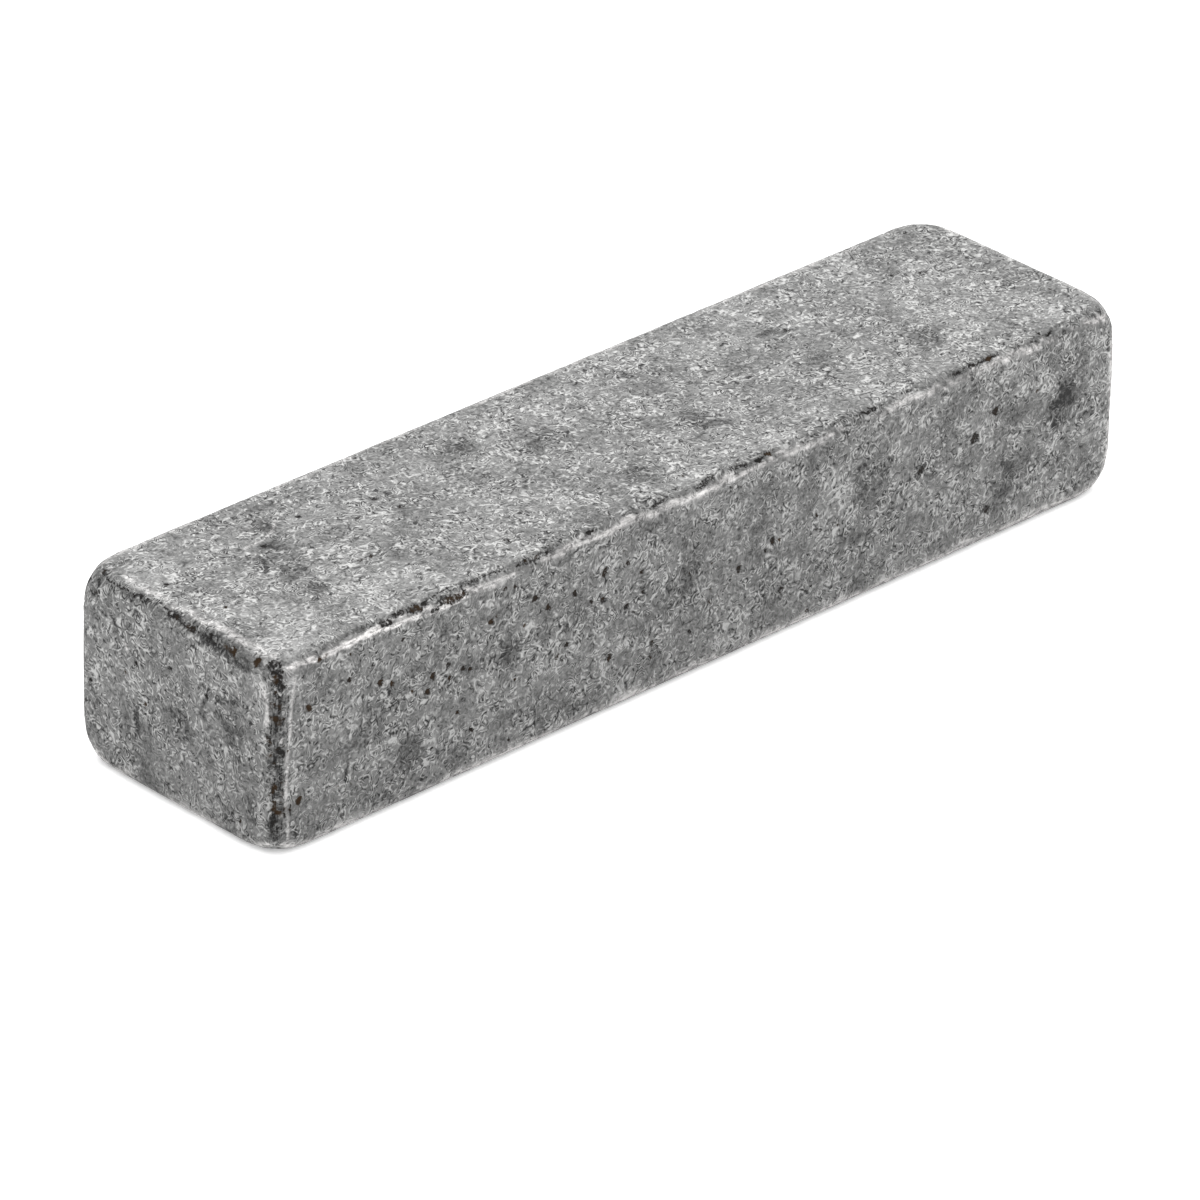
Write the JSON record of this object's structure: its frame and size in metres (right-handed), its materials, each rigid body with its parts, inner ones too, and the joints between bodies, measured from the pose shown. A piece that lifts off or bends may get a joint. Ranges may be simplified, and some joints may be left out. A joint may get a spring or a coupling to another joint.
{
  "type": "parallel key",
  "caption": "Straight rectangular steel key with square ends and tumbled edges, which locks a hub to a keyed shaft.",
  "frame": {"origin": "middle of the bottom face, the one that lies in the shaft's keyway", "axes": "+X along the key, +Y across its width, +Z from the shaft towards the hub"},
  "size_m": [0.026, 0.0064, 0.0048],
  "materials": {
    "key_steel": "tumbled, dull grey, lightly pitted"
  },
  "bodies": {
    "root": {"parallel_key": "key_steel"}
  },
  "joints": []
}
